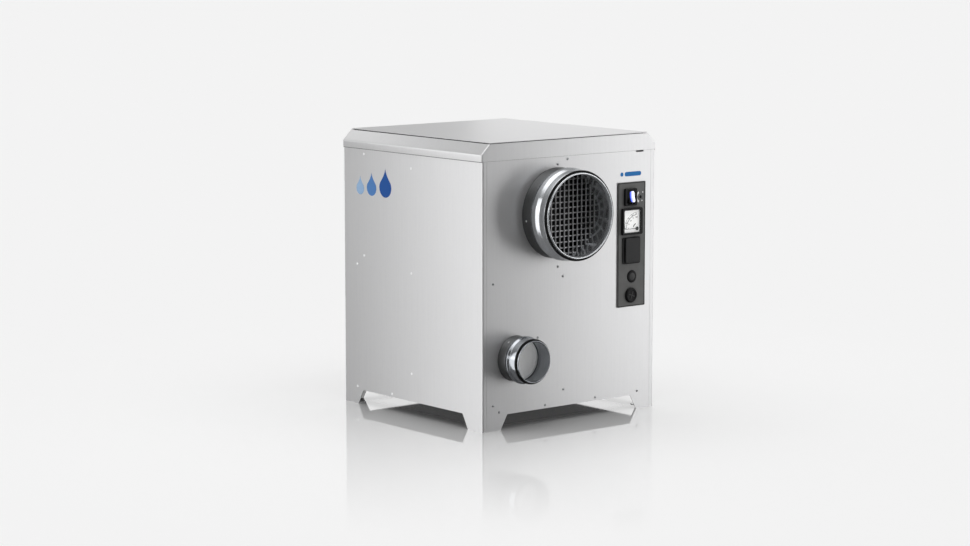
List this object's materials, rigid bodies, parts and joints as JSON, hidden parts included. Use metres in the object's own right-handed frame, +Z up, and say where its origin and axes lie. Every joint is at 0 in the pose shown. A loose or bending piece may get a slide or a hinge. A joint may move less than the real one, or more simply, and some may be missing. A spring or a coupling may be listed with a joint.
{
  "type": "ducted desiccant dehumidifier",
  "caption": "Compact sheet-metal air dehumidifying cabinet with a guarded round duct collar, a small damper collar, a rear outlet collar and a control strip with rocker, meter and flap.",
  "frame": {"origin": "on the floor at the middle of the unit, its collars included", "axes": "+Z up, front with the control panel faces -Y, +X to the right of someone facing the front"},
  "size_m": [0.404, 0.526, 0.502],
  "materials": {
    "casing_steel": "satin aluzinc-coated sheet, faintly blue-grey",
    "inner_steel": "dull galvanised sheet",
    "bright_steel": "bright galvanised, nearly mirror-like",
    "black_rubber": "matt black EPDM",
    "aluminium": "mill finish",
    "black_plastic": "fine-grained black",
    "grey_plastic": "matt dark grey",
    "blue_plastic": "translucent blue, lit from inside",
    "white_plastic": "satin white",
    "clear_glass": "clear",
    "desiccant": "off-white silica-coated corrugated fibre paper",
    "filter_cloth": "charcoal pleated filter cloth"
  },
  "bodies": {
    "root": {"left_side_panel": "casing_steel", "right_side_panel": "casing_steel", "front_panel": "casing_steel", "back_panel": "casing_steel", "lid": "casing_steel", "base_pan": "inner_steel", "divider_plate": "inner_steel", "front_bulkhead": "inner_steel", "rear_bulkhead": "inner_steel", "fan_plate": "inner_steel", "inlet_guard": "inner_steel", "filter_housing": "inner_steel", "wet_air_hood": "inner_steel", "gear_motor": "inner_steel", "fan_bracket": "inner_steel", "heater_duct": "inner_steel", "din_rail": "inner_steel", "inlet_sleeve": "bright_steel", "inlet_spigot": "bright_steel", "wet_air_sleeve": "bright_steel", "wet_air_spigot": "bright_steel", "outlet_sleeve": "bright_steel", "outlet_spigot": "bright_steel", "rotor_axle": "bright_steel", "inlet_seal": "black_rubber", "wet_air_seal": "black_rubber", "outlet_seal": "black_rubber", "front_rotor_seal": "black_rubber", "rear_rotor_seal": "black_rubber", "drive_belt": "black_rubber", "fan_inlet_ring": "aluminium", "heater_element": "aluminium", "filter_frame": "black_plastic", "fan_motor_stator": "black_plastic", "overheat_thermostat": "black_plastic", "rocker_frame": "black_plastic", "meter_case": "black_plastic", "socket_frame": "black_plastic", "small_hole_plug": "black_plastic", "large_hole_plug": "black_plastic", "control_plate": "grey_plastic", "contactor": "grey_plastic", "meter_dial": "white_plastic", "terminal_block": "white_plastic", "meter_window": "clear_glass", "filter_media": "filter_cloth"},
    "rotor": {"rotor_core": "desiccant", "rotor_rim": "inner_steel", "rotor_hub": "aluminium", "rotor_bearing_front": "bright_steel", "rotor_bearing_rear": "bright_steel"},
    "pulley": {"drive_pulley": "black_plastic"},
    "fan": {"fan_impeller": "aluminium", "fan_motor_rotor": "inner_steel"},
    "damper": {"damper_blade": "inner_steel", "damper_lever": "inner_steel"},
    "rocker": {"rocker_button": "blue_plastic"},
    "needle": {"meter_pointer": "black_plastic"},
    "flap": {"socket_flap": "black_plastic"}
  },
  "joints": [
    {"name": "rotor_spin", "type": "hinge", "parent": "root", "child": "rotor", "pos_m": [-0.047, -0.042, 0.245], "axis": [0, 1, 0], "continuous": true},
    {"name": "pulley_spin", "type": "hinge", "parent": "root", "child": "pulley", "pos_m": [0.066, -0.03, 0.128], "axis": [0, 1, 0], "continuous": true},
    {"name": "fan_spin", "type": "hinge", "parent": "root", "child": "fan", "pos_m": [-0.02, 0.1, 0.322], "axis": [0, 1, 0], "continuous": true},
    {"name": "damper_turn", "type": "hinge", "parent": "root", "child": "damper", "pos_m": [-0.126, -0.213, 0.123], "axis": [1, 0, 0], "range_deg": [0, 90]},
    {"name": "rocker_tip", "type": "hinge", "parent": "root", "child": "rocker", "pos_m": [0.1385, -0.203, 0.3873], "axis": [1, 0, 0], "range_deg": [0, 22]},
    {"name": "needle_swing", "type": "hinge", "parent": "root", "child": "needle", "pos_m": [0.1555, -0.2036, 0.3297], "axis": [0, 1, 0], "range_deg": [0, 90], "stiffness_Nm_per_rad": 0.00005},
    {"name": "flap_swing", "type": "hinge", "parent": "root", "child": "flap", "pos_m": [0.142, -0.2056, 0.3125], "axis": [-1, 0, 0], "range_deg": [0, 100], "stiffness_Nm_per_rad": 0.006, "springref_deg": -28.65}
  ],
  "couplings": [
    {"joint": "pulley_spin", "follows": "rotor_spin", "ratio": 8.24}
  ]
}
